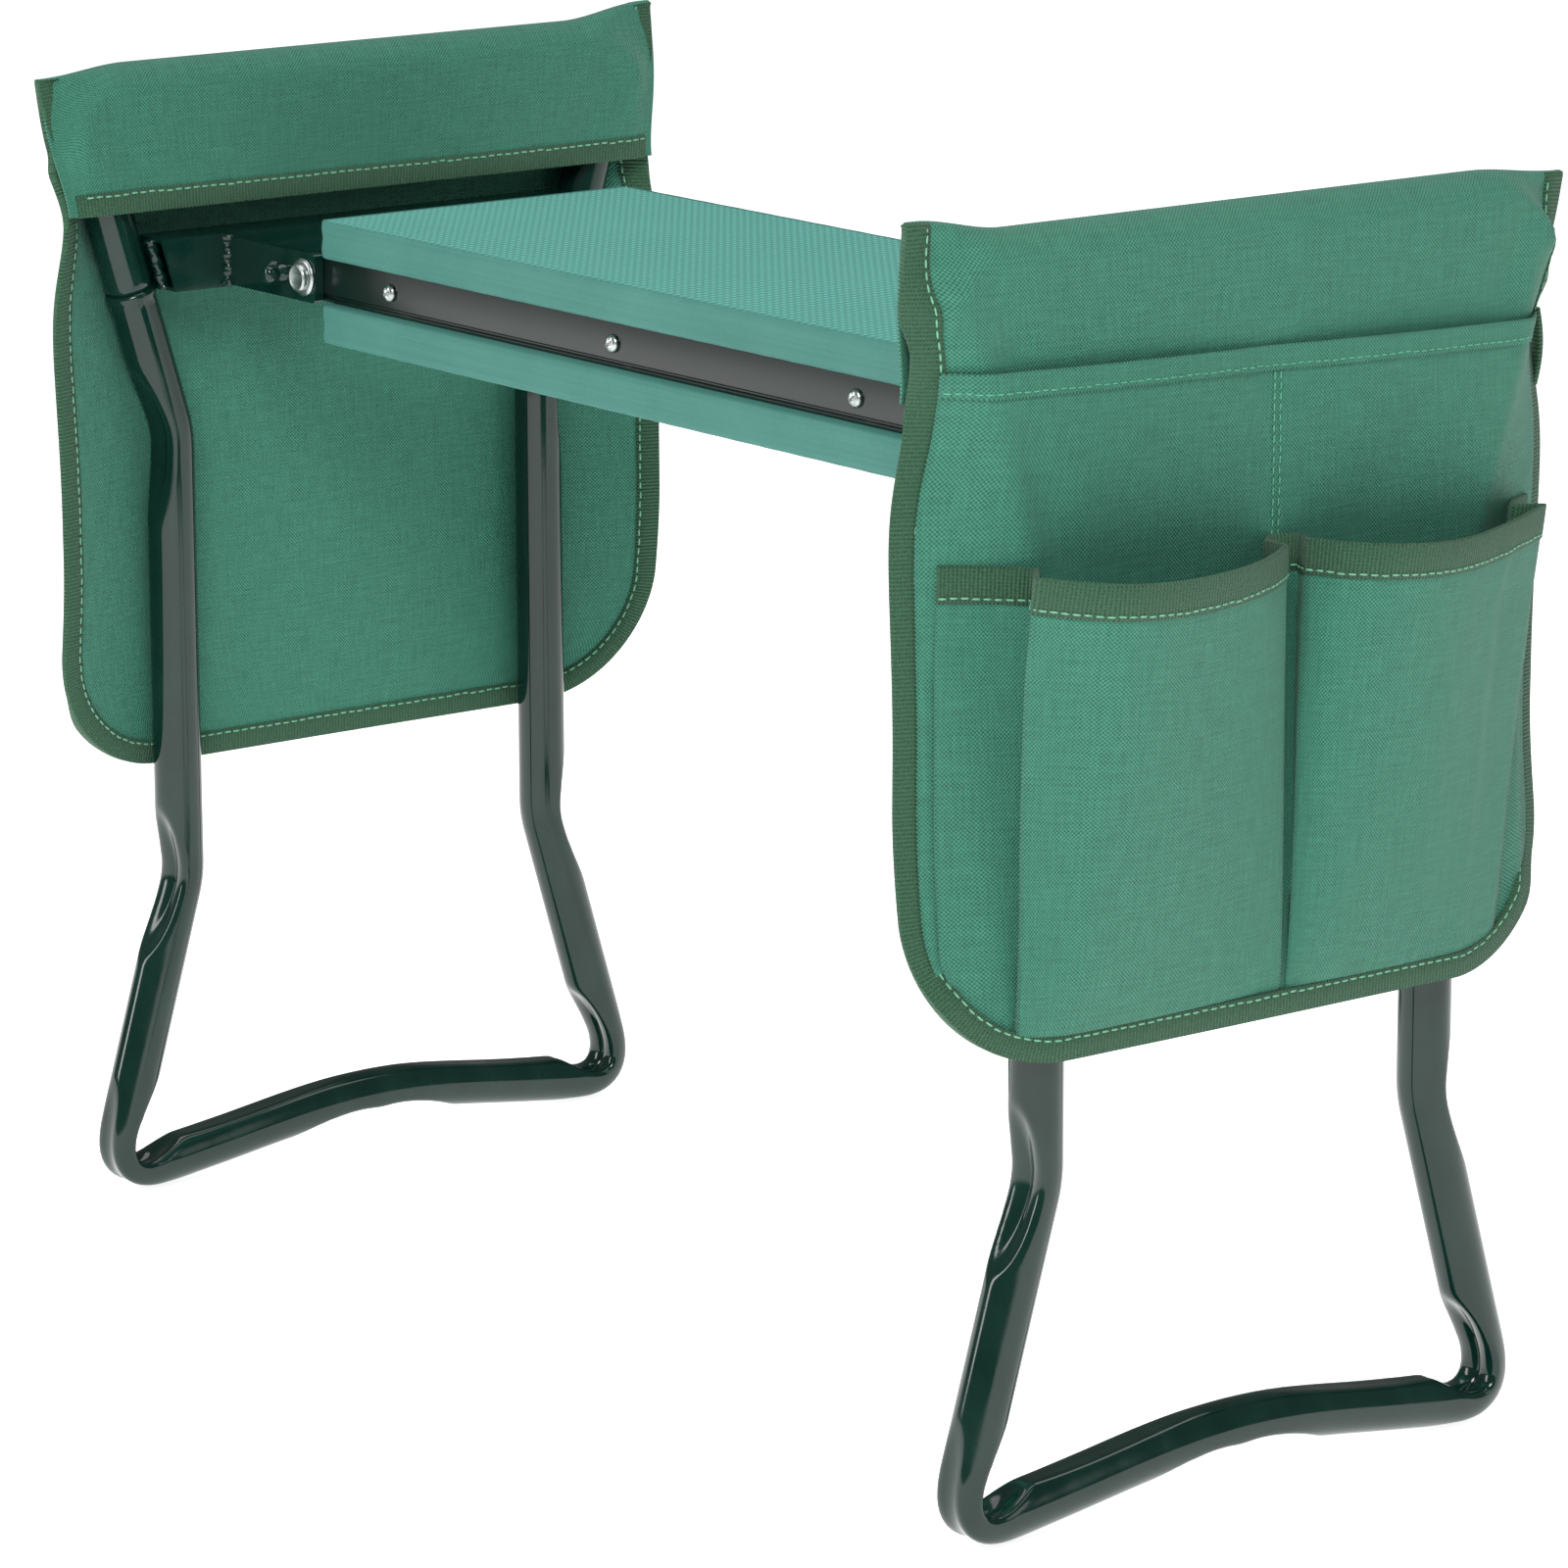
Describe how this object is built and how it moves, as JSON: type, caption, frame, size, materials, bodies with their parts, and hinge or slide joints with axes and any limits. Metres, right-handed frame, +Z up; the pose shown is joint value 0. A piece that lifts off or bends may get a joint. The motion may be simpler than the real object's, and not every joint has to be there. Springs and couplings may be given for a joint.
{
  "type": "garden kneeler seat",
  "caption": "Garden kneeler and seat: a two-sided foam pad between two folding tube loops, each with a fabric tool pouch.",
  "frame": {"origin": "on the floor, under the middle of the seat", "axes": "+X along the seat, +Y across it, +Z up with the kneeler standing as a seat"},
  "size_m": [0.696, 0.3108, 0.479],
  "materials": {
    "foam": "matte embossed EVA foam",
    "rail_paint": "gloss",
    "green_paint": "gloss powder coat",
    "board": "raw",
    "zinc": "bright zinc plate",
    "bare_steel": "satin",
    "cloth": "woven polyester",
    "webbing": "ribbed webbing"
  },
  "bodies": {
    "seat": {"top_pad": "foam", "bottom_pad": "foam", "front_rail": "rail_paint", "back_rail": "rail_paint", "seat_board": "board", "rail_screws": "zinc", "left_pivot_rivets": "zinc", "left_pivot_washers": "zinc", "right_pivot_rivets": "zinc", "right_pivot_washers": "zinc"},
    "left_leg": {"left_lower_loop": "green_paint", "left_upper_loop": "green_paint", "left_spigots": "bare_steel", "left_crossbar": "green_paint", "left_front_arm": "green_paint", "left_back_arm": "green_paint", "left_weld_beads": "green_paint", "left_sleeve": "cloth", "left_sleeve_binding": "webbing", "left_flap_binding": "webbing"},
    "left_lock": {"left_lock_bar": "green_paint"},
    "left_pouch": {"left_pouch_panel": "cloth", "left_flat_pocket": "cloth", "left_gusset_pocket": "cloth", "left_pouch_binding": "webbing", "left_pocket_binding": "webbing"},
    "right_leg": {"right_lower_loop": "green_paint", "right_upper_loop": "green_paint", "right_spigots": "bare_steel", "right_crossbar": "green_paint", "right_front_arm": "green_paint", "right_back_arm": "green_paint", "right_weld_beads": "green_paint", "right_sleeve": "cloth", "right_sleeve_binding": "webbing", "right_flap_binding": "webbing"},
    "right_lock": {"right_lock_bar": "green_paint"},
    "right_pouch": {"right_pouch_panel": "cloth", "right_flat_pocket": "cloth", "right_gusset_pocket": "cloth", "right_pouch_binding": "webbing", "right_pocket_binding": "webbing", "right_webbing_tab": "webbing"}
  },
  "joints": [
    {"name": "left_leg_fold", "type": "hinge", "parent": "seat", "child": "left_leg", "pos_m": [-0.207, 0, 0.3937], "axis": [0, -1, 0], "range_deg": [0, 95]},
    {"name": "left_lock_slide", "type": "slide", "parent": "left_leg", "child": "left_lock", "axis": [-1, 0, 0], "range_m": [0, 0.008], "stiffness_N_per_m": 600, "springref_m": -0.004},
    {"name": "left_pouch_hang", "type": "hinge", "parent": "left_leg", "child": "left_pouch", "pos_m": [-0.2959, 0, 0.4245], "axis": [0, -1, 0], "range_deg": [-96, 1]},
    {"name": "right_leg_fold", "type": "hinge", "parent": "seat", "child": "right_leg", "pos_m": [0.207, 0, 0.3937], "axis": [0, 1, 0], "range_deg": [0, 84]},
    {"name": "right_lock_slide", "type": "slide", "parent": "right_leg", "child": "right_lock", "axis": [1, 0, 0], "range_m": [0, 0.008], "stiffness_N_per_m": 600, "springref_m": -0.004},
    {"name": "right_pouch_hang", "type": "hinge", "parent": "right_leg", "child": "right_pouch", "pos_m": [0.2959, 0, 0.4245], "axis": [0, 1, 0], "range_deg": [-85, 1]}
  ],
  "couplings": [
    {"joint": "left_pouch_hang", "follows": "left_leg_fold", "ratio": -1},
    {"joint": "right_pouch_hang", "follows": "right_leg_fold", "ratio": -1}
  ]
}
